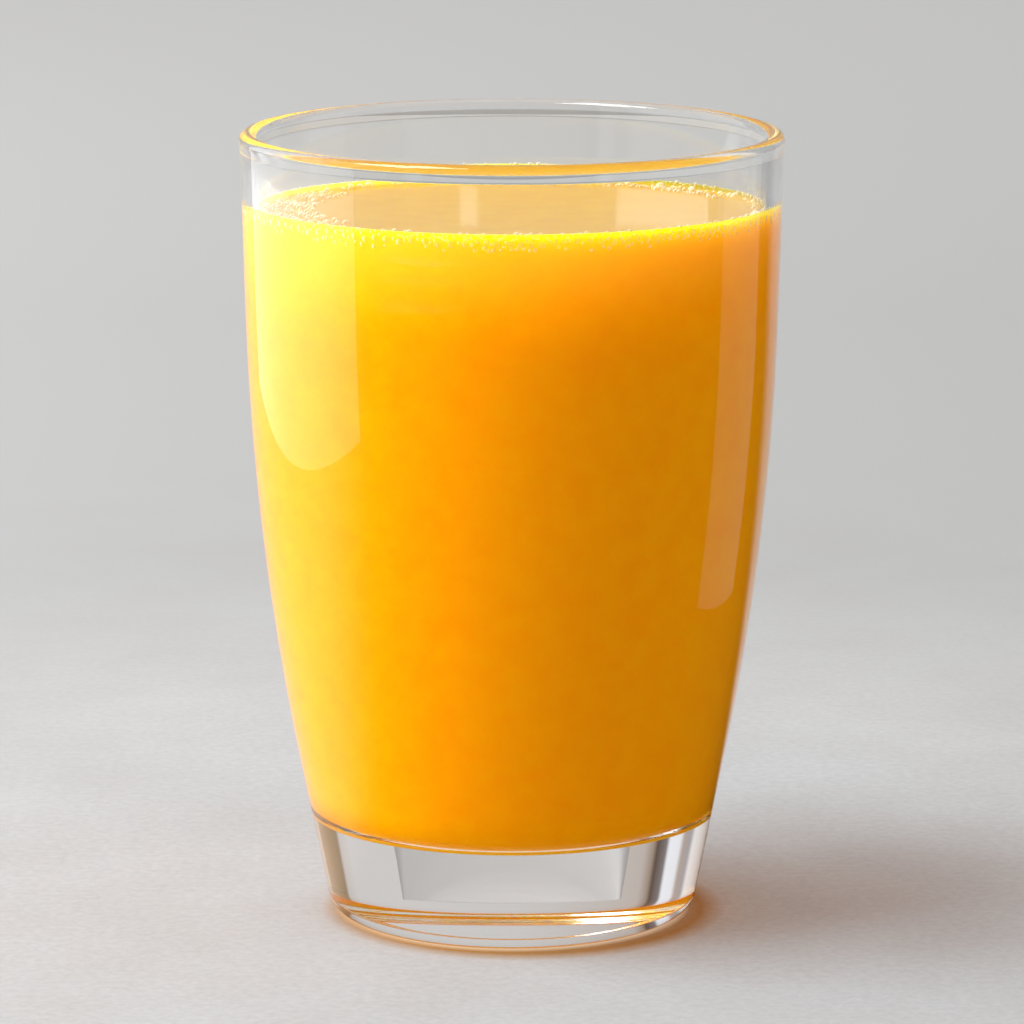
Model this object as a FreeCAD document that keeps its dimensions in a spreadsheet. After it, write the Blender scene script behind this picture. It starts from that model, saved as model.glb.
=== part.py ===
"""A pressed glass tumbler, filled with orange juice to just under its rim.

The tumbler is one solid of revolution: a thick clear foot with a rounded heel and a shallow dish
underneath, a wall that leans out and straightens on its way up, and a fire-polished bead at the rim.
The juice fills the inside up to its level, and a ring of fine bubbles lies on it against the wall.

Frame: +Z up, the origin at the centre of the foot, on the surface that the tumbler stands on.
Millimetres and degrees.
"""

import FreeCAD
import Part
import Sketcher
import os

from FreeCAD import Vector

SIZES = {
    # The outside
    "glass_height": 120.0,  # table to the top of the rim
    "rim_radius": 41.0,  # widest point of the rim bead
    "upper_wall_angle": 1.6,  # lean of the upper wall from upright
    "lower_wall_angle": 11.36,  # lean of the lower wall from upright
    "belly_height": 57.4,  # where the upper and lower walls would meet if neither curved
    "belly_radius": 400.0,  # the long curve between them
    # The wall and its rim
    "wall_thickness": 2.6,
    "bead_swell": 0.1,  # how far the rim bead stands proud of the wall on either side
    "neck_radius": 2.5,  # hollow under the bead, outside and inside
    # The foot
    "base_thickness": 15.2,  # table to the inside bottom
    "heel_radius": 3.5,  # rounding between foot and wall
    "corner_radius": 6.5,  # rounding between wall and inside bottom
    "foot_ring_width": 2.5,  # flat ring that the tumbler stands on
    "dish_depth": 1.0,  # hollow inside that ring
    # The contents
    "headspace": 11.0,  # top of the rim to the juice
    "foam_radius": 1.1,  # half the height of the ring of bubbles
    "foam_lift": 0.1,  # centre of the bubbles above the juice
}

# Formulas in the document's own expression language, each written once.
BEAD_RADIUS = "(dims.wall_thickness / 2 + dims.bead_swell)"
BEAD_HEIGHT = f"(dims.glass_height - {BEAD_RADIUS})"
BEAD_CENTRE = f"(dims.rim_radius - {BEAD_RADIUS})"
JUICE_LEVEL = "(dims.glass_height - dims.headspace)"
UPPER_LEAN = "dims.upper_wall_angle"
LOWER_LEAN = "dims.lower_wall_angle"
MEAN_LEAN = f"(({UPPER_LEAN} + {LOWER_LEAN}) / 2)"
HALF_BEND = f"(({LOWER_LEAN} - {UPPER_LEAN}) / 2)"
RIM_WALL = "(dims.rim_radius - dims.bead_swell)"  # the outer wall at the height of the bead
BELLY_WALL = f"({RIM_WALL} - ({BEAD_HEIGHT} - dims.belly_height) * tan({UPPER_LEAN}))"
TABLE_WALL = f"({BELLY_WALL} - dims.belly_height * tan({LOWER_LEAN}))"  # run on down to the table
FOOT_RADIUS = f"({TABLE_WALL} - dims.heel_radius * (1 - sin({LOWER_LEAN})) / cos({LOWER_LEAN}))"
DISH_RADIUS = f"({FOOT_RADIUS} - dims.foot_ring_width)"
INNER_RIM_WALL = f"({RIM_WALL} - dims.wall_thickness / cos({UPPER_LEAN}))"
SHORE_RADIUS = f"({INNER_RIM_WALL} - ({BEAD_HEIGHT} - {JUICE_LEVEL}) * tan({UPPER_LEAN}))"

CUTTER_REACH = 3.0  # how far a cutting shape runs past the face that it opens

# How a sketch numbers its own origin and upright axis, and the points of a curve.
ROOT, UPRIGHT = -1, -2
START, END, MIDDLE = 1, 2, 3


def turn_at(inset):
    """Radius and height at which the straight walls would meet, on a face inset from the outside."""
    return (
        f"({BELLY_WALL} - {inset} * cos({MEAN_LEAN}) / cos({HALF_BEND}))",
        f"(dims.belly_height + {inset} * sin({MEAN_LEAN}) / cos({HALF_BEND}))",
    )


def value_of(sketch, formula):
    """What a formula gives with the sheet's present sizes, as a plain number."""
    found = sketch.Document.dims.evalExpression(formula)
    return float(getattr(found, "Value", found))


def bind(sketch, kind, where, name, formula):
    """Adds a length to a sketch and ties it to a formula."""
    index = sketch.addConstraint(Sketcher.Constraint(kind, *where, value_of(sketch, formula)))
    sketch.renameConstraint(index, name)
    sketch.setExpression(f"Constraints.{name}", formula)


def bind_lean(sketch, side, name, formula):
    """Leans a line of a sketch outwards from upright by a formula's angle."""
    lean = FreeCAD.Units.Quantity(f"{-value_of(sketch, formula)} deg")
    index = sketch.addConstraint(Sketcher.Constraint("Angle", UPRIGHT, START, side, START, lean))
    sketch.renameConstraint(index, name)
    sketch.setExpression(f"Constraints.{name}", f"-{formula} * 1 deg")


def new_sketch(body, name):
    """A sketch on the body's own XZ plane, whose x is the radius and whose y is the height."""
    sketch = body.newObject("Sketcher::SketchObject", name)
    plane = next(f for f in body.Origin.OriginFeatures if f.Role == "XZ_Plane")
    sketch.AttachmentSupport = [(plane, "")]
    sketch.MapMode = "FlatFace"
    return sketch


def turn(body, kind, name, sketch):
    """Turns a sketch once round the upright axis, adding to the body or cutting from it."""
    before = 0.0 if body.Shape.isNull() else body.Shape.Volume
    feature = body.newObject(f"PartDesign::{kind}", name)
    feature.Profile = sketch
    feature.ReferenceAxis = (sketch, ["V_Axis"])
    feature.Angle = 360
    body.Document.recompute()
    added = feature.Shape.Volume - before
    if added * (1 if kind == "Revolution" else -1) <= 0:
        raise RuntimeError(f"{name} had no effect")
    return feature


def add_line(sketch, start, end):
    return sketch.addGeometry(Part.LineSegment(start, end), False)


def add_arc(sketch, centre, radius, start, end):
    """An arc drawn anticlockwise from start to end."""
    circle = Part.Circle(centre, Vector(0, 0, 1), radius)
    angles = [circle.parameter(point) for point in (start, end)]
    return sketch.addGeometry(Part.ArcOfCircle(circle, *angles), False)


def draw_wall(sketch, inset, bottom, corner, top):
    """The half section of a shape bounded by the tumbler's wall line.

    inset is how far the line lies inside the outer face, bottom and top are the heights that close
    it, and corner is the radius where it meets the bottom. All are formulas. Every point is first
    worked out where it belongs, and the constraints then hold it there.
    """
    turn_radius, turn_height = turn_at(inset)
    belly = f"(dims.belly_radius - {inset})"
    formulas = (turn_radius, turn_height, belly, bottom, top, corner)
    turn_r, turn_z, belly_r, low, high, corner_r = (value_of(sketch, f) for f in formulas)
    upper_way, lower_way = (
        Vector(value_of(sketch, f"sin({lean})"), value_of(sketch, f"cos({lean})"))
        for lean in (UPPER_LEAN, LOWER_LEAN)
    )
    crossing_point = Vector(turn_r, turn_z)
    reach = belly_r * value_of(sketch, f"tan({HALF_BEND})")
    belly_top = crossing_point + upper_way * reach
    belly_foot = crossing_point - lower_way * reach
    belly_centre = belly_top + Vector(-upper_way.y, upper_way.x) * belly_r
    wall_top = crossing_point + upper_way * ((high - turn_z) / upper_way.y)
    wall_foot = crossing_point - lower_way * ((turn_z - low) / lower_way.y)
    across = corner_r * (1 - lower_way.x) / lower_way.y
    corner_foot = Vector(wall_foot.x - across, low)
    corner_centre = corner_foot + Vector(0, corner_r)
    corner_top = corner_centre + Vector(lower_way.y, -lower_way.x) * corner_r

    floor = add_line(sketch, Vector(0, low), corner_foot)
    rounding = add_arc(sketch, corner_centre, corner_r, corner_foot, corner_top)
    lower = add_line(sketch, corner_top, belly_foot)
    curve = add_arc(sketch, belly_centre, belly_r, belly_foot, belly_top)
    upper = add_line(sketch, belly_top, wall_top)
    lid = add_line(sketch, wall_top, Vector(0, high))
    axis = add_line(sketch, Vector(0, high), Vector(0, low))
    crossing = sketch.addGeometry(Part.Point(crossing_point), True)

    rule = Sketcher.Constraint
    outline = [floor, rounding, lower, curve, upper, lid, axis]
    for first, second in zip(outline, outline[1:] + outline[:1]):
        square = lid in (first, second) or axis in (first, second)
        sketch.addConstraint(rule("Coincident" if square else "Tangent", first, END, second, START))
    for flat, at_axis in ((floor, START), (lid, END)):
        sketch.addConstraint(rule("Horizontal", flat))
        sketch.addConstraint(rule("PointOnObject", flat, at_axis, UPRIGHT))
    for side in (lower, upper):
        sketch.addConstraint(rule("PointOnObject", crossing, START, side))
    bind(sketch, "Radius", (rounding,), "corner_radius", corner)
    bind(sketch, "Radius", (curve,), "belly_radius", belly)
    bind_lean(sketch, lower, "lower_lean", LOWER_LEAN)
    bind_lean(sketch, upper, "upper_lean", UPPER_LEAN)
    bind(sketch, "DistanceX", (ROOT, START, crossing, START), "turn_radius", turn_radius)
    bind(sketch, "DistanceY", (ROOT, START, crossing, START), "turn_height", turn_height)
    bind(sketch, "DistanceY", (ROOT, START, lid, START), "top", top)
    if low > 0:
        bind(sketch, "DistanceY", (ROOT, START, floor, START), "bottom", bottom)
    else:
        sketch.addConstraint(rule("PointOnObject", floor, END, ROOT))


def draw_bead(sketch):
    """The round of the rim, a little wider than the wall below it."""
    centre = Vector(value_of(sketch, BEAD_CENTRE), value_of(sketch, BEAD_HEIGHT))
    circle = Part.Circle(centre, Vector(0, 0, 1), value_of(sketch, BEAD_RADIUS))
    bead = sketch.addGeometry(circle, False)
    bind(sketch, "Radius", (bead,), "bead_radius", BEAD_RADIUS)
    bind(sketch, "DistanceX", (ROOT, START, bead, MIDDLE), "bead_centre", BEAD_CENTRE)
    bind(sketch, "DistanceY", (ROOT, START, bead, MIDDLE), "bead_height", BEAD_HEIGHT)


def draw_dish(sketch):
    """The hollow under the foot: the cap of a large sphere, open downwards."""
    edge = value_of(sketch, DISH_RADIUS)
    depth = value_of(sketch, "dims.dish_depth")
    sphere = (edge**2 + depth**2) / (2 * depth)
    rim, crown = Vector(edge, 0), Vector(0, depth)
    below_rim, below_crown = Vector(edge, -CUTTER_REACH), Vector(0, -CUTTER_REACH)

    cap = add_arc(sketch, Vector(0, depth - sphere), sphere, rim, crown)
    axis = add_line(sketch, crown, below_crown)
    floor = add_line(sketch, below_crown, below_rim)
    side = add_line(sketch, below_rim, rim)

    rule = Sketcher.Constraint
    outline = [cap, axis, floor, side]
    for first, second in zip(outline, outline[1:] + outline[:1]):
        sketch.addConstraint(rule("Coincident", first, END, second, START))
    for upright in (axis, side):
        sketch.addConstraint(rule("Vertical", upright))
    sketch.addConstraint(rule("Horizontal", floor))
    sketch.addConstraint(rule("PointOnObject", cap, MIDDLE, UPRIGHT))
    sketch.addConstraint(rule("PointOnObject", cap, END, UPRIGHT))
    sketch.addConstraint(rule("PointOnObject", cap, START, ROOT))
    sketch.addConstraint(rule("DistanceY", floor, START, ROOT, START, CUTTER_REACH))
    bind(sketch, "DistanceX", (ROOT, START, cap, START), "dish_radius", DISH_RADIUS)
    bind(sketch, "DistanceY", (ROOT, START, cap, END), "dish_depth", "dims.dish_depth")


def neck_edges(rim, bead_height, bead_radius):
    """Names of the two circles along which the bead meets the wall, just below its centre."""
    names = []
    for index, edge in enumerate(rim.Shape.Edges, 1):
        drop = bead_height - edge.BoundBox.Center.z
        if edge.isClosed() and 0 < drop < bead_radius:
            names.append(f"Edge{index}")
    if len(names) != 2:
        raise RuntimeError("the rim bead doesn't meet both faces of the wall")
    return names


def make_glass(document):
    """The tumbler: its outside, its inside, the bead of the rim, and the dish under the foot."""
    body = document.addObject("PartDesign::Body", "glass")
    body.Label = "glass"

    outside = new_sketch(body, "outside_section")
    draw_wall(outside, "0", "0", "dims.heel_radius", BEAD_HEIGHT)
    turn(body, "Revolution", "outside", outside)

    inside = new_sketch(body, "inside_section")
    opening = f"({BEAD_HEIGHT} + {CUTTER_REACH})"
    draw_wall(inside, "dims.wall_thickness", "dims.base_thickness", "dims.corner_radius", opening)
    turn(body, "Groove", "inside", inside)

    bead = new_sketch(body, "bead_section")
    draw_bead(bead)
    rim = turn(body, "Revolution", "rim_bead", bead)

    necks = body.newObject("PartDesign::Fillet", "rim_necks")
    necks.Base = (rim, neck_edges(rim, value_of(bead, BEAD_HEIGHT), value_of(bead, BEAD_RADIUS)))
    necks.setExpression("Radius", "dims.neck_radius")
    document.recompute()

    dish = new_sketch(body, "dish_section")
    draw_dish(dish)
    turn(body, "Groove", "foot_dish", dish)
    return body


def make_fill(document, name, top):
    """The inside of the tumbler, filled from its bottom up to a height."""
    body = document.addObject("PartDesign::Body", name)
    section = new_sketch(body, name + "_section")
    draw_wall(section, "dims.wall_thickness", "dims.base_thickness", "dims.corner_radius", top)
    turn(body, "Revolution", name + "_solid", section)
    return body


def make_contents(document):
    """The juice up to its level, and the ring of bubbles let into its edge."""
    foam_bead = document.addObject("Part::Torus", "foam_bead")
    foam_bead.setExpression("Radius1", SHORE_RADIUS)
    foam_bead.setExpression("Radius2", "dims.foam_radius")
    foam_bead.setExpression("Placement.Base.z", f"{JUICE_LEVEL} + dims.foam_lift")

    juice = document.addObject("Part::Cut", "orange_juice")
    juice.Label = "orange_juice"
    juice.Base = make_fill(document, "juice_fill", JUICE_LEVEL)
    juice.Tool = foam_bead

    foam = document.addObject("Part::Common", "foam_ring")
    foam.Label = "foam_ring"
    foam.Base = make_fill(document, "inside_form", BEAD_HEIGHT)
    foam.Tool = foam_bead

    document.recompute()
    return [juice, foam]


def make_sheet(document):
    """The driving dimensions, one row each, under their own names."""
    sheet = document.addObject("Spreadsheet::Sheet", "dims")
    for row, (alias, size) in enumerate(SIZES.items(), 1):
        sheet.set(f"A{row}", alias)
        sheet.set(f"B{row}", str(size))
        sheet.setAlias(f"B{row}", alias)
    document.recompute()


def check(document, parts):
    """Stops the build if any object failed or any sub-part isn't one sound solid."""
    failed = [found.Name for found in document.Objects if {"Invalid", "Error"} & set(found.State)]
    if failed:
        raise RuntimeError(f"these objects failed: {failed}")
    for part in parts:
        shape = part.Shape
        if shape.isNull() or not shape.isValid() or len(shape.Solids) != 1:
            raise RuntimeError(f"{part.Label} isn't one valid solid")


document = FreeCAD.newDocument("glass_of_juice")
make_sheet(document)
parts = [make_glass(document), *make_contents(document)]
document.recompute()
check(document, parts)

os.makedirs("parts", exist_ok=True)
for part in parts:
    part.Shape.exportStep(f"parts/{part.Label}.step")
    print(f"{part.Label}: {part.Shape.Volume / 1000:.2f} cubic centimetres")
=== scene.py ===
"""A clear tumbler of orange juice on a pale stone worktop, under soft light from a window on the left.

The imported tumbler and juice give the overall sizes. Metres, +Z up, the origin under the middle of the
foot.
"""

import math
import random

import bpy
from mathutils import Matrix, Vector


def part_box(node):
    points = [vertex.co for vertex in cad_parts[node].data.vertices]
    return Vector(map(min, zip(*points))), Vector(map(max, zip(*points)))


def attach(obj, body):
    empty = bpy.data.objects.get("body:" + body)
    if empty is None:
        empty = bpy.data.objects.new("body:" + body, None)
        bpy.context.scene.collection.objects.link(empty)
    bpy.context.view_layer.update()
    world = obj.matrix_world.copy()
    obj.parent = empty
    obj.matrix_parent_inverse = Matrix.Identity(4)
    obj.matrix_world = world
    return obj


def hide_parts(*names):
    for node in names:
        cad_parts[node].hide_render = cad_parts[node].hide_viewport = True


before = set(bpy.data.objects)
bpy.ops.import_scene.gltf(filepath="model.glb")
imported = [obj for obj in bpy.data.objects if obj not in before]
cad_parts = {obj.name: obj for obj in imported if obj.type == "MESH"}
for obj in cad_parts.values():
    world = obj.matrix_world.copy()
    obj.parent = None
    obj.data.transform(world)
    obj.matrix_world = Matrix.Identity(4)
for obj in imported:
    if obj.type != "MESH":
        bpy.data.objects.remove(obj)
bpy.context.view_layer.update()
bpy.ops.object.select_all(action="DESELECT")


# ---------------------------------------------------------------------------------------------------
# The tumbler. Clear soda-lime glass, pressed in a mould: a thick foot, a wall that leans out and
# straightens on its way up, and a rim that was melted to a round bead in the flame.

glass_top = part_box("glass")[1]
juice_low, juice_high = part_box("orange_juice")

upper_lean = math.radians(1.6)
lower_lean = math.radians(11.36)
belly_height = 0.0574
belly_rounding = 0.4
wall_thickness = 0.0026
bead_radius = 0.0014
bead_swell = 0.0001
neck_height = 0.1173
neck_rounding = 0.0025
rim_flare = math.radians(6.6)
heel_rounding = 0.0035
corner_rounding = 0.0065
foot_ring_width = 0.0025
foot_edge_rounding = 0.0004
dish_depth = 0.001
finest_chord = 0.000004  # how far a facet may cut inside its curve
turns = 224  # facets round the axis


def belly_corner(inset):
    """Where the upper and the lower wall lines meet, for a face that lies inset inside the outer one."""
    rise = glass_top.z - bead_radius - belly_height
    radius = glass_top.x - bead_swell - rise * math.tan(upper_lean)
    mean = (upper_lean + lower_lean) / 2
    scale = inset / math.cos((lower_lean - upper_lean) / 2)
    return radius - scale * math.cos(mean), belly_height + scale * math.sin(mean)


def wall_radius(inset, height):
    """Radius of one of the wall's straight lines at a height, as if the belly weren't rounded."""
    radius, turn_height = belly_corner(inset)
    lean = upper_lean if height > turn_height else lower_lean
    return radius + (height - turn_height) * math.tan(lean)


def wall_line(inset, low, rounding, high):
    """Corners of a wall face from its bottom up: radius, height and rounding of each."""
    return [
        (wall_radius(inset, low), low, rounding),
        (*belly_corner(inset), belly_rounding - inset),
        (wall_radius(inset, high), high, neck_rounding),
    ]


def draw_section(name, corners):
    """Draws half of a cross-section from its corners, rounding each one with a true arc."""
    points = [Vector((radius, 0, height)) for radius, height, _ in corners]
    bpy.ops.object.select_all(action="DESELECT")
    bpy.ops.mesh.primitive_plane_add(size=0.001, location=points[0])
    piece = bpy.context.object
    piece.name = name
    bpy.ops.object.transform_apply()
    bpy.ops.object.mode_set(mode="EDIT")
    bpy.ops.mesh.select_all(action="SELECT")
    bpy.ops.mesh.merge(type="CENTER")
    pen = points[0]
    for index, point in enumerate(points[1:], 1):
        rounding = corners[index][2]
        way = (point - points[index - 1]).normalized()
        turn, back = 0.0, 0.0
        if rounding:
            onward = (points[index + 1] - point).normalized()
            turn = math.atan2(way.x * onward.z - way.z * onward.x, way.dot(onward))
            back = rounding * math.tan(abs(turn) / 2)
        start = point - way * back
        if (start - pen).length > 1e-7:
            bpy.ops.mesh.extrude_region_move(TRANSFORM_OT_translate={"value": start - pen})
        pen = start
        if rounding:
            side = Vector((-way.z, 0, way.x)) * math.copysign(rounding, turn)
            steps = math.ceil(abs(turn) / math.sqrt(8 * finest_chord / rounding))
            centre = start + side
            bpy.ops.mesh.spin(steps=steps, angle=turn, center=centre, axis=(0, 1, 0))
            pen = centre + Matrix.Rotation(-turn, 3, "Y") @ (start - centre)
    return piece


def turn_on_axis(piece):
    """Turns a drawn section once round the upright axis into a closed, smooth skin."""
    bpy.ops.mesh.select_all(action="SELECT")
    bpy.ops.mesh.spin(steps=turns, angle=math.tau, center=(0, 0, 0), axis=(0, 0, 1))
    bpy.ops.mesh.select_all(action="SELECT")
    bpy.ops.mesh.remove_doubles(threshold=1e-7)
    bpy.ops.mesh.normals_make_consistent(inside=False)
    bpy.ops.object.mode_set(mode="OBJECT")
    bpy.ops.object.shade_smooth()
    return piece


foot_radius = wall_radius(0, 0) - heel_rounding * (1 - math.sin(lower_lean)) / math.cos(lower_lean)
dish_edge = foot_radius - foot_ring_width
dish_rounding = (dish_edge**2 + dish_depth**2) / (2 * dish_depth)
dish_corner = dish_rounding * math.tan(math.asin(dish_edge / dish_rounding) / 2)
flare = (glass_top.z - neck_height) * math.tan(rim_flare)
outer_neck = wall_radius(0, neck_height)
inner_neck = wall_radius(wall_thickness, neck_height)

outside = wall_line(0, 0, heel_rounding, neck_height)
inside = wall_line(wall_thickness, juice_low.z, corner_rounding, neck_height)
crest = [
    (outer_neck + flare, glass_top.z, bead_radius),
    (inner_neck - flare, glass_top.z, bead_radius),
]
tumbler = draw_section(
    "tumbler",
    [
        (0, dish_depth, 0),
        (dish_corner, dish_depth, dish_rounding),
        (dish_edge, 0, foot_edge_rounding),
        *outside,
        *crest,
        *reversed(inside),
        (0, juice_low.z, 0),
    ],
)
turn_on_axis(tumbler)


class Value:
    """One output of a shader node. Sums, products and comparisons of it add Math nodes."""

    def __init__(self, finish, output):
        self.finish = finish
        self.output = output

    def math(self, operation, *terms):
        return self.finish.add("ShaderNodeMath", {"operation": operation}, dict(enumerate(terms)))

    def __add__(self, other):
        return self.math("ADD", self, other)

    def __sub__(self, other):
        return self.math("SUBTRACT", self, other)

    def __rsub__(self, other):
        return self.math("SUBTRACT", other, self)

    def __mul__(self, other):
        return self.math("MULTIPLY", self, other)

    def __truediv__(self, other):
        return self.math("DIVIDE", self, other)

    def __rtruediv__(self, other):
        return self.math("DIVIDE", other, self)

    def __lt__(self, other):
        return self.math("LESS_THAN", self, other)

    def __gt__(self, other):
        return self.math("GREATER_THAN", self, other)

    def near(self, middle, reach):
        """1 where the number lies within reach of the middle, and 0 elsewhere."""
        return self.math("COMPARE", self, middle, reach)

    __radd__ = __add__
    __rmul__ = __mul__


class Finish:
    """The shader of a material or of the world, built up one node at a time."""

    def __init__(self, owner):
        owner.use_nodes = True
        self.owner = owner
        self.tree = owner.node_tree
        self.tree.nodes.clear()

    def add(self, kind, settings=None, inputs=None, output=0):
        """Adds a node, sets it up, fills or links its inputs, and gives one of its outputs."""
        node = self.tree.nodes.new(kind)
        for name, setting in (settings or {}).items():
            if name == "stops":
                ramp = node.color_ramp.elements
                while len(ramp) < len(setting):
                    ramp.new(1.0)
                for element, (position, colour) in zip(ramp, setting):
                    element.position = position
                    element.color = colour
            else:
                setattr(node, name, setting)
        for name, given in (inputs or {}).items():
            if isinstance(given, Value):
                self.tree.links.new(given.output, node.inputs[name])
            else:
                node.inputs[name].default_value = given
        return Value(self, node.outputs[output])

    def close(self, shader, kind="ShaderNodeOutputMaterial"):
        """Sends the shader to the surface and gives back the finished material or world."""
        end = self.tree.nodes.new(kind)
        self.tree.links.new(shader.output, end.inputs["Surface"])
        return self.owner


def place_on(finish):
    """The point of the piece that is being shaded, in metres."""
    return finish.add("ShaderNodeTexCoord", output="Object")


def clear_glass(name, let_through):
    """Water-white glass. Its faces wave very slightly, as pressed glass does."""
    finish = Finish(bpy.data.materials.new(name))
    place = place_on(finish)
    wave = finish.add("ShaderNodeTexNoise", inputs={"Vector": place, "Scale": 45.0, "Detail": 1.0})
    bump = finish.add(
        "ShaderNodeBump", inputs={"Height": wave, "Strength": 0.03, "Distance": 0.001}
    )
    glass = finish.add(
        "ShaderNodeBsdfPrincipled",
        inputs={
            "Base Color": (0.985, 0.99, 0.988, 1),
            "Roughness": 0.0,
            "IOR": 1.5,
            "Transmission Weight": 1.0,
            "Normal": bump,
        },
    )
    # Light that reaches the juice and the table through the glass comes straight through.
    open_glass = finish.add("ShaderNodeBsdfTransparent", inputs={"Color": let_through})
    for kind in ("Is Shadow Ray", "Is Diffuse Ray"):
        ray = finish.add("ShaderNodeLightPath", output=kind)
        glass = finish.add("ShaderNodeMixShader", inputs={0: ray, 1: glass, 2: open_glass})
    return finish.close(glass)


# The thick foot bends most of the light away, and what passes it has been through the juice above.
foot_top = 0.012
tumbler.data.materials.append(clear_glass("clear_glass", (0.97, 0.97, 0.97, 1)))
tumbler.data.materials.append(clear_glass("foot_glass", (0.90, 0.74, 0.48, 1)))
for face in tumbler.data.polygons:
    face.material_index = 1 if face.center.z < foot_top else 0
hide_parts("glass")
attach(tumbler, "root")


# ---------------------------------------------------------------------------------------------------
# The juice. Fresh orange juice, cloudy with fine pulp: light that enters it scatters about inside and
# comes out yellower near where it went in. It wets the glass, so its edge climbs the wall a little.

juice_reach = 0.00015  # how far the juice reaches into the wall, so that no air shows between them
shore_climb = 0.0009
shore_width = 0.0016
shore_rounding = 0.0022

juice_skin = wall_thickness - juice_reach
juice_side = wall_line(
    juice_skin, juice_low.z - juice_reach, corner_rounding + juice_reach, juice_high.z + shore_climb
)[:2]
shore_top = juice_high.z + shore_climb
juice = draw_section(
    "juice",
    [
        (0, juice_low.z - juice_reach, 0),
        *juice_side,
        (wall_radius(juice_skin, shore_top), shore_top, 0),
        (wall_radius(juice_skin, shore_top) - shore_width, juice_high.z, shore_rounding),
        (0, juice_high.z, 0),
    ],
)
turn_on_axis(juice)


def cloudy_juice(name, dark, light, painted_glow_share, specular_level, roughness, pool):
    """Orange juice, with pulp that mottles it very faintly."""
    finish = Finish(bpy.data.materials.new(name))
    place = place_on(finish)
    pulp = finish.add("ShaderNodeTexNoise", inputs={"Vector": place, "Scale": 260.0, "Detail": 4.0})
    colour = finish.add(
        "ShaderNodeValToRGB",
        {"stops": [(0.35, dark), (0.65, light)]},
        {"Fac": pulp},
    )
    # Yellower towards the top: painted light, standing in for the light that enters through the surface
    # and scatters just under it.
    height = finish.add("ShaderNodeSeparateXYZ", inputs={"Vector": place}, output="Z")
    painted_top_glow = finish.add(
        "ShaderNodeMapRange",
        {"interpolation_type": "SMOOTHSTEP"},
        {"Value": height, "From Min": 0.096, "From Max": 0.1095, "To Max": painted_glow_share},
    )
    colour = finish.add(
        "ShaderNodeMix",
        {"data_type": "RGBA"},
        {0: painted_top_glow, 6: colour, 7: (0.96, 0.44, 0.012, 1)},
        output=2,
    )
    body = finish.add(
        "ShaderNodeBsdfPrincipled",
        inputs={
            "Base Color": colour,
            "Roughness": roughness,
            "IOR": 1.35,
            "Specular IOR Level": specular_level,
            "Subsurface Weight": 1.0,
            "Subsurface Radius": (1.0, 0.7, 0.05),
            "Subsurface Scale": 0.014,
        },
    )
    if pool:
        # Seen at a slant from inside the glass, the lighter juice beyond it mirrors like a pool.
        slant = finish.add("ShaderNodeFresnel", inputs={"IOR": 0.9})
        mirror = finish.add("ShaderNodeBsdfAnisotropic", inputs={"Roughness": 0.02})
        body = finish.add("ShaderNodeMixShader", inputs={0: slant, 1: body, 2: mirror})
    # A little of the light that meets the juice goes on through it, and comes out orange.
    passing = finish.add("ShaderNodeBsdfTransparent", inputs={"Color": (0.57, 0.32, 0.03, 1)})
    ray = finish.add("ShaderNodeLightPath", output="Is Shadow Ray")
    body = finish.add("ShaderNodeMixShader", inputs={0: ray, 1: body, 2: passing})
    return finish.close(body)


at_glass = cloudy_juice(
    "juice_at_glass",
    dark=(0.96, 0.335, 0.0002, 1),
    light=(0.98, 0.36, 0.0004, 1),
    painted_glow_share=1.0,
    specular_level=0.0,
    roughness=0.4,
    pool=True,
)
# A darker copy of the juice for the faces that look up: painted shade, so that the surface under the
# lamps is not too bright.
painted_shade_top = cloudy_juice(
    "juice_surface_painted_shade",
    dark=(0.50, 0.255, 0.012, 1),
    light=(0.53, 0.28, 0.016, 1),
    painted_glow_share=0.0,
    specular_level=0.03,
    roughness=0.05,
    pool=False,
)
# A yellower copy of the juice for the faces that look down: painted light, for the bottom that the lamps
# hardly reach.
under = cloudy_juice(
    "juice_under_painted_light",
    dark=(0.96, 0.40, 0.02, 1),
    light=(0.98, 0.44, 0.03, 1),
    painted_glow_share=0.0,
    specular_level=0.0,
    roughness=0.4,
    pool=False,
)
for juice_finish in (at_glass, painted_shade_top, under):
    juice.data.materials.append(juice_finish)
surface_slope = 0.3  # the upward part of a face's normal from which it belongs to the surface
bottom_slope = -0.9
# Faces that look up take the darker copy, painted shade, and faces that look down take the yellower
# copy, painted light.
for face in juice.data.polygons:
    if face.normal.z > surface_slope:
        face.material_index = 1
    elif face.normal.z < bottom_slope:
        face.material_index = 2
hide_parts("orange_juice")
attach(juice, "root")


# ---------------------------------------------------------------------------------------------------
# The bubbles. Pouring leaves bubbles that gather where the juice meets the glass: a row of large ones
# pressed against the wall, finer ones between them, and thin rafts of froth out on the surface.

random.seed(7)
shore_radius = wall_radius(wall_thickness, juice_high.z)
press = 0.00028  # how far a bubble's face is let into the wall, so that it shows through the glass
closeness = 0.9  # least distance between two bubbles, as a share of their two radii together
large_radii = (0.0005, 0.001)
large_spacing = (2.0, 2.7)  # from one large bubble to the next, in radii
large_sink = 0.0007
fine_radii = (0.00018, 0.0004)
fine_scatter = 0.0004  # how far a fine bubble lies above or below its row
raft_radii = (0.00015, 0.00055)
raft_edge = 1.6  # the higher, the more the froth gathers at the glass
bubble_forms = {}
for name, detail in (("large_bubble", 3), ("fine_bubble", 2)):
    bpy.ops.object.select_all(action="DESELECT")
    bpy.ops.mesh.primitive_ico_sphere_add(subdivisions=detail, radius=1.0)
    bpy.ops.object.shade_smooth()
    bubble_forms[name] = bpy.context.object
bubbles = []
spots = []


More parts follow.
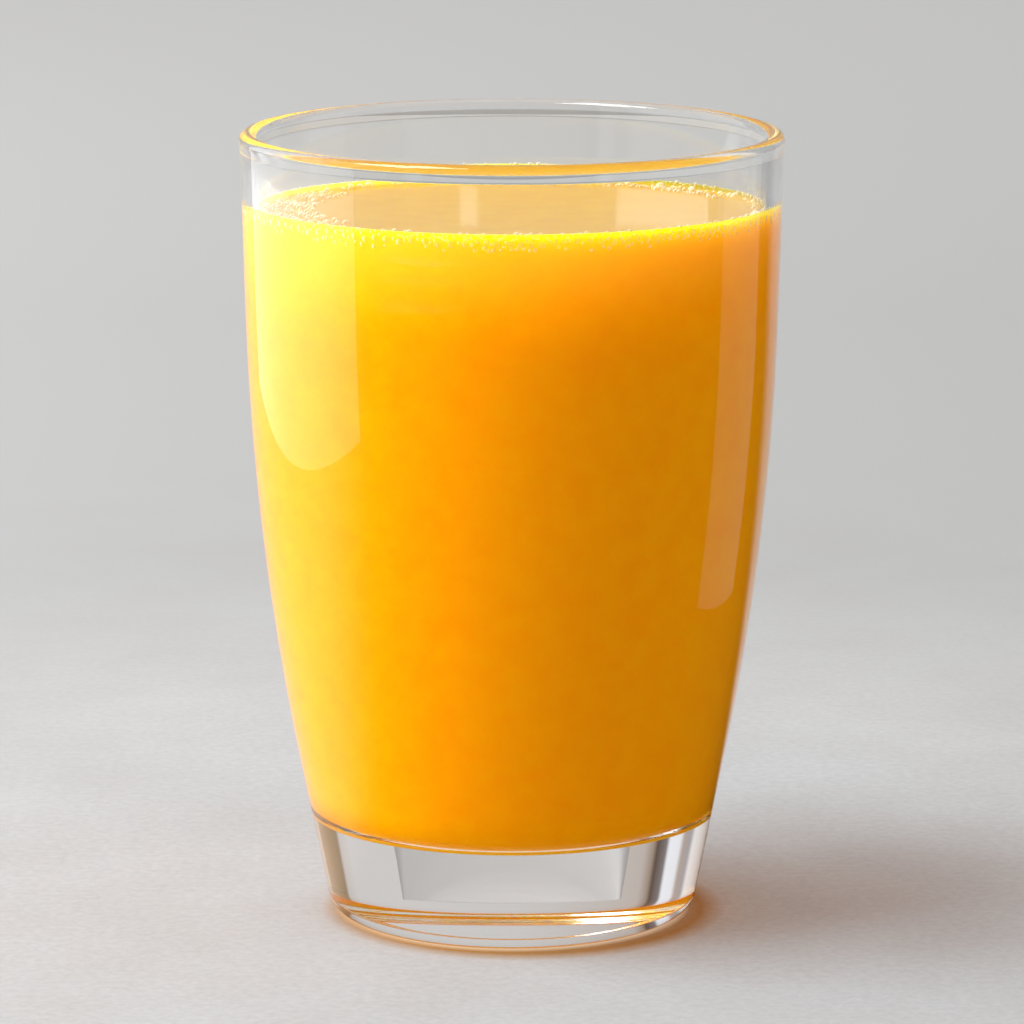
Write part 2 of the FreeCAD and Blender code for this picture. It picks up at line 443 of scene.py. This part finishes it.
def blow(radius, angle, distance, height):
    """Puts a bubble at an angle round the axis and a distance from it, unless one is there already."""
    spot = Vector((distance * math.cos(angle), distance * math.sin(angle), height))
    for other, other_radius in spots:
        if (spot - other).length < closeness * (radius + other_radius):
            return
    spots.append((spot, radius))
    form = bubble_forms["large_bubble" if radius > large_radii[0] else "fine_bubble"]
    copy = form.copy()
    copy.data = form.data.copy()
    copy.matrix_world = Matrix.LocRotScale(spot, None, Vector((radius, radius, radius)))
    bpy.context.collection.objects.link(copy)
    bubbles.append(copy)


angle = 0.0
while angle < math.tau - 0.02:
    radius = random.uniform(*large_radii)
    step = radius / shore_radius
    sink = random.uniform(0.0, large_sink)
    blow(radius, angle + step, shore_radius + press - radius, juice_high.z - sink)
    angle += random.uniform(*large_spacing) * step
for row_height, row_count in ((-0.0012, 260), (-0.0003, 900), (0.0005, 1500)):
    for _ in range(row_count):
        radius = random.uniform(*fine_radii)
        height = juice_high.z + row_height + random.uniform(-fine_scatter, fine_scatter)
        blow(radius, random.uniform(0, math.tau), shore_radius + press - radius, height)
for raft_middle, raft_spread, raft_width, raft_count in (
    (math.radians(182), math.radians(38), 0.008, 420),
    (math.radians(48), math.radians(26), 0.0045, 240),
    (math.radians(105), math.radians(75), 0.0016, 240),
    (math.radians(280), math.radians(100), 0.0012, 420),
):
    for _ in range(raft_count):
        radius = random.uniform(*raft_radii) * random.uniform(0.6, 1.0)
        inwards = raft_width * random.uniform(0, 1) ** raft_edge
        angle = raft_middle + raft_spread * random.uniform(-1, 1)
        blow(radius, angle, shore_radius - inwards - radius, juice_high.z + 0.2 * radius)
for form in bubble_forms.values():
    bpy.data.objects.remove(form)
bpy.ops.object.select_all(action="DESELECT")
for bubble in bubbles:
    bubble.select_set(True)
bpy.context.view_layer.objects.active = bubbles[0]
bpy.ops.object.join()
foam = bpy.context.object
foam.name = "bubbles"
bpy.ops.object.transform_apply()


def bubble_shell():
    """A thin wet shell of juice over air."""
    finish = Finish(bpy.data.materials.new("bubble_shell"))
    place = place_on(finish)
    spread = finish.add("ShaderNodeTexNoise", inputs={"Vector": place, "Scale": 900.0})
    colour = finish.add(
        "ShaderNodeValToRGB",
        {"stops": [(0.35, (1.0, 0.84, 0.48, 1)), (0.65, (1.0, 0.94, 0.76, 1))]},
        {"Fac": spread},
    )
    shell = finish.add(
        "ShaderNodeBsdfPrincipled",
        inputs={"Base Color": colour, "Roughness": 0.1, "IOR": 2.0},
    )
    # Seen straight on a shell is clear, and its edge is pale.
    edge = finish.add("ShaderNodeLayerWeight", inputs={"Blend": 0.55}, output="Facing")
    clear = finish.add("ShaderNodeBsdfTransparent", inputs={"Color": (1.0, 0.97, 0.90, 1)})
    shell = finish.add("ShaderNodeMixShader", inputs={0: edge, 1: clear, 2: shell})
    return finish.close(shell)


foam.data.materials.append(bubble_shell())
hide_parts("foam_ring")
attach(foam, "root")


# ---------------------------------------------------------------------------------------------------
# The worktop. Pale honed stone under the glass, running back into a plain grey ground out of focus.
# The glass mirrors only what lies on its left and right behind it, as if the room in front were dark.

worktop_size = 8.0
ground_reach = 1.4


def pale_stone():
    """Honed pale stone with soft clouds and a fine grain, turning to plain grey away from the glass,
    with painted light and shade round the foot and over the ground.
    """
    finish = Finish(bpy.data.materials.new("pale_stone"))
    place = place_on(finish)
    clouds = finish.add(
        "ShaderNodeTexNoise", inputs={"Vector": place, "Scale": 26.0, "Detail": 6.0, "Roughness": 0.6}
    )
    stone = finish.add(
        "ShaderNodeValToRGB",
        {"stops": [(0.3, (0.445, 0.435, 0.425, 1)), (0.7, (0.485, 0.485, 0.485, 1))]},
        {"Fac": clouds},
    )
    grain = finish.add(
        "ShaderNodeTexNoise", inputs={"Vector": place, "Scale": 650.0, "Detail": 3.0, "Roughness": 0.7}
    )
    speckle = finish.add(
        "ShaderNodeValToRGB",
        {"stops": [(0.35, (0.94, 0.935, 0.93, 1)), (0.65, (1.04, 1.04, 1.04, 1))]},
        {"Fac": grain},
    )
    distance = finish.add("ShaderNodeVectorMath", {"operation": "LENGTH"}, {0: place}, output="Value")
    fade = finish.add("ShaderNodeMapRange", {}, {"Value": distance, "From Min": 0.1, "From Max": 0.4})
    blend = {"data_type": "RGBA", "blend_type": "MULTIPLY"}
    stone = finish.add("ShaderNodeMix", blend, {0: 1 - fade, 6: stone, 7: speckle}, output=2)
    stone = finish.add(
        "ShaderNodeMix",
        {"data_type": "RGBA"},
        {0: fade, 6: stone, 7: (0.466, 0.462, 0.458, 1)},
        output=2,
    )
    # The stone's tone by distance from the glass is painted light: bluer beside the glass against the
    # orange light bounced off the juice, and lighter far back where the lamps' light falls off.
    painted_light_tone = finish.add(
        "ShaderNodeValToRGB",
        {
            "stops": [
                (0.05, (0.71, 0.73, 0.75, 1)),
                (0.10, (0.74, 0.74, 0.74, 1)),
                (0.14, (0.70, 0.70, 0.70, 1)),
                (0.19, (0.65, 0.65, 0.65, 1)),
                (0.42, (0.715, 0.715, 0.71, 1)),
                (1.0, (1.03, 1.025, 1.015, 1)),
            ]
        },
        {"Fac": distance * (1 / ground_reach)},
    )
    colour = finish.add("ShaderNodeMix", blend, {0: 1.0, 6: stone, 7: painted_light_tone}, output=2)
    # Painted light and shade round the foot: an orange ring in the stone, darkest at the heel, stands in
    # for the light the juice colours and for the contact shadow.
    foot_middle = (0.0017, -0.0008, 0)
    from_foot = finish.add(
        "ShaderNodeVectorMath", {"operation": "DISTANCE"}, {0: place, 1: foot_middle}, output="Value"
    )
    painted_foot_glow = finish.add(
        "ShaderNodeValToRGB",
        {
            "stops": [
                (0.0255, (0.85, 0.72, 0.52, 1)),
                (0.0272, (0.78, 0.42, 0.12, 1)),
                (0.0288, (0.93, 0.72, 0.46, 1)),
                (0.0315, (1.0, 1.0, 1.0, 1)),
            ]
        },
        {"Fac": from_foot},
    )
    colour = finish.add("ShaderNodeMix", blend, {0: 1.0, 6: colour, 7: painted_foot_glow}, output=2)
    # Under the foot the stone glows: painted light, standing in for the light that the thick foot
    # gathers from its sides.
    painted_under_foot_light = finish.add(
        "ShaderNodeValToRGB",
        {"stops": [(0.025, (0.80, 0.68, 0.52, 1)), (0.0265, (0, 0, 0, 1))]},
        {"Fac": distance},
    )
    # How much of the ground a mirroring face shows, by the way the ground lies from the glass.
    way = finish.add("ShaderNodeVectorMath", {"operation": "NORMALIZE"}, {0: place})
    across = finish.add("ShaderNodeSeparateXYZ", inputs={"Vector": way}, output="X")
    along = finish.add("ShaderNodeSeparateXYZ", inputs={"Vector": way}, output="Y")
    smooth = {"interpolation_type": "SMOOTHSTEP"}
    on_left = finish.add(
        "ShaderNodeMapRange", smooth, {"Value": along, "From Min": -0.5, "From Max": 0.0}
    )
    on_right = finish.add(
        "ShaderNodeMapRange", smooth, {"Value": along, "From Min": 0.72, "From Max": 0.85}
    )
    left_side = across < 0.0
    shown = left_side * on_left + (1 - left_side) * on_right
    glossy = finish.add("ShaderNodeLightPath", output="Is Glossy Ray")
    bent = finish.add("ShaderNodeLightPath", output="Is Transmission Ray")
    mirrored = glossy * (1 - bent)
    hidden = mirrored * (1 - shown)
    colour = finish.add(
        "ShaderNodeMix", {"data_type": "RGBA"}, {0: hidden, 6: colour, 7: (0, 0, 0, 1)}, output=2
    )
    matt = finish.add(
        "ShaderNodeBsdfPrincipled",
        inputs={
            "Base Color": colour,
            "Roughness": 0.8,
            "Specular IOR Level": 0.1,
            "Emission Color": painted_under_foot_light,
            "Emission Strength": 1.0,
        },
    )
    return finish.close(matt)


bpy.ops.object.select_all(action="DESELECT")
bpy.ops.mesh.primitive_plane_add(size=worktop_size)
worktop = bpy.context.object
worktop.name = "worktop"
worktop.data.materials.append(pale_stone())


# ---------------------------------------------------------------------------------------------------
# The light. A soft sky all round, one large soft source high on the left, and upright panels at the
# sides that show as the reflections of windows. A mirroring face of the glass sees a dim sky with a
# paler wall at the back, and light bent by the glass shows the tones of a room.

world = bpy.data.worlds.new("soft_sky")
bpy.context.scene.world = world
sky = Finish(world)
direction = sky.add("ShaderNodeTexCoord", output="Generated")
across = sky.add("ShaderNodeSeparateXYZ", inputs={"Vector": direction}, output="X")
along = sky.add("ShaderNodeSeparateXYZ", inputs={"Vector": direction}, output="Y")
wall = sky.add(
    "ShaderNodeMapRange",
    {"interpolation_type": "SMOOTHSTEP"},
    {"Value": along, "From Min": 0.80, "From Max": 0.88},
)
room = sky.add(
    "ShaderNodeValToRGB",
    {
        "stops": [
            (0.085, (1.0, 1.0, 1.0, 1)),
            (0.10, (0.40, 0.43, 0.49, 1)),
            (0.1275, (0.48, 0.42, 0.38, 1)),
            (0.1425, (0.90, 0.94, 1.0, 1)),
            (0.178, (0.90, 0.94, 1.0, 1)),
            (0.188, (0.20, 0.20, 0.21, 1)),
            (0.215, (0.09, 0.08, 0.075, 1)),
            (0.226, (0.34, 0.28, 0.23, 1)),
            (0.25, (0.52, 0.48, 0.45, 1)),
            (0.5, (0.61, 0.61, 0.60, 1)),
            (0.84, (0.65, 0.65, 0.645, 1)),
            (0.875, (0.58, 0.56, 0.54, 1)),
            (0.885, (0.26, 0.19, 0.11, 1)),
            (0.92, (0.32, 0.22, 0.10, 1)),
            (0.96, (0.45, 0.31, 0.17, 1)),
        ]
    },
    {"Fac": across * 0.5 + 0.5},
)
glossy = sky.add("ShaderNodeLightPath", output="Is Glossy Ray")
bent = sky.add("ShaderNodeLightPath", output="Is Transmission Ray")
mirrored = glossy * (1 - bent)
front_tone = 0.14  # how much of the plain sky a mirroring face shows, away from the wall
wall_tone = 0.40  # and how much more it shows of the wall
dim = mirrored * (1 - (wall * wall_tone + front_tone))
plain = sky.add(
    "ShaderNodeMix", {"data_type": "RGBA"}, {0: dim, 6: (0.74, 0.75, 0.76, 1), 7: (0, 0, 0, 1)}, output=2
)
colour = sky.add("ShaderNodeMix", {"data_type": "RGBA"}, {0: bent, 6: plain, 7: room}, output=2)
# A tall window and a gap in the wall at the back show in the surface of the juice.
# Light that has passed more than two faces of glass comes off that surface, not through the foot.
slope = across / along
depth = sky.add("ShaderNodeLightPath", output="Transmission Depth")
through = bent * (depth > 2.5)
window = mirrored * slope.near(0.044, 0.018) + through * slope.near(0.066, 0.031)
gap = mirrored * slope.near(-0.0100, 0.0018) + through * slope.near(-0.0132, 0.0027)
window_light = 0.95
gap_light = 0.85
up = sky.add("ShaderNodeSeparateXYZ", inputs={"Vector": direction}, output="Z")
level_with_it = up.near(0.145, 0.03)
strength = wall * level_with_it * (window * window_light + gap * gap_light) + 1.0
background = sky.add("ShaderNodeBackground", inputs={"Color": colour, "Strength": strength})
sky.close(background, "ShaderNodeOutputWorld")


def add_panel(name, place, target, width, height, power, for_reflections=False):
    """A soft rectangular lamp that faces a point."""
    way = (Vector(target) - Vector(place)).to_track_quat("-Z", "Y")
    bpy.ops.object.light_add(type="AREA", location=place, rotation=way.to_euler())
    lamp = bpy.context.object
    lamp.name = name
    lamp.data.shape = "RECTANGLE"
    lamp.data.size = width
    lamp.data.size_y = height
    lamp.data.energy = power
    lamp.visible_camera = False
    lamp.visible_diffuse = not for_reflections
    return lamp


add_panel("key", (-0.9, -0.20, 1.9), (0, 0, 0.06), 0.9, 0.9, 31.0)
side_window = add_panel("side_window", (-1.0, 0.05, 0.5), (0, 0.05, 0.5), 1.6, 1.0, 31.0)
side_window.visible_glossy = False
side_window.visible_transmission = False
left_window = add_panel("left_window", (-0.28, 0.1025, 0.25), (0, 0.1025, 0.25), 0.455, 0.5, 0.82, True)
left_window.visible_transmission = False
add_panel("right_window", (0.16, 0.045, 0.25), (0, 0.045, 0.25), 0.09, 0.5, 0.05, True)
fill = add_panel("fill", (1.2, -0.6, 0.6), (0, 0, 0.06), 1.0, 0.8, 1.2)
fill.visible_glossy = False
fill.visible_transmission = False


# ---------------------------------------------------------------------------------------------------
# The camera. A long lens well back from the glass and a little above it, looking down on it by eleven
# degrees.

camera_distance = 0.8668
camera_rise = math.radians(11.05)
aim = Vector((0, 0, 0.06166))
back = Vector((0, -math.cos(camera_rise), math.sin(camera_rise)))
view_turn = back.to_track_quat("Z", "Y").to_euler()
bpy.ops.object.camera_add(location=aim + back * camera_distance, rotation=view_turn)
camera = bpy.context.object
camera.data.lens = 200.5
camera.data.sensor_width = 36.0
bpy.context.scene.camera = camera
bpy.context.scene.view_settings.view_transform = "Standard"

# Light that the heel and the foot ring turn round many times still has to come out of the glass.
most_bounces = 32
cycles = bpy.context.scene.cycles
cycles.max_bounces = most_bounces
cycles.glossy_bounces = most_bounces
cycles.transmission_bounces = most_bounces
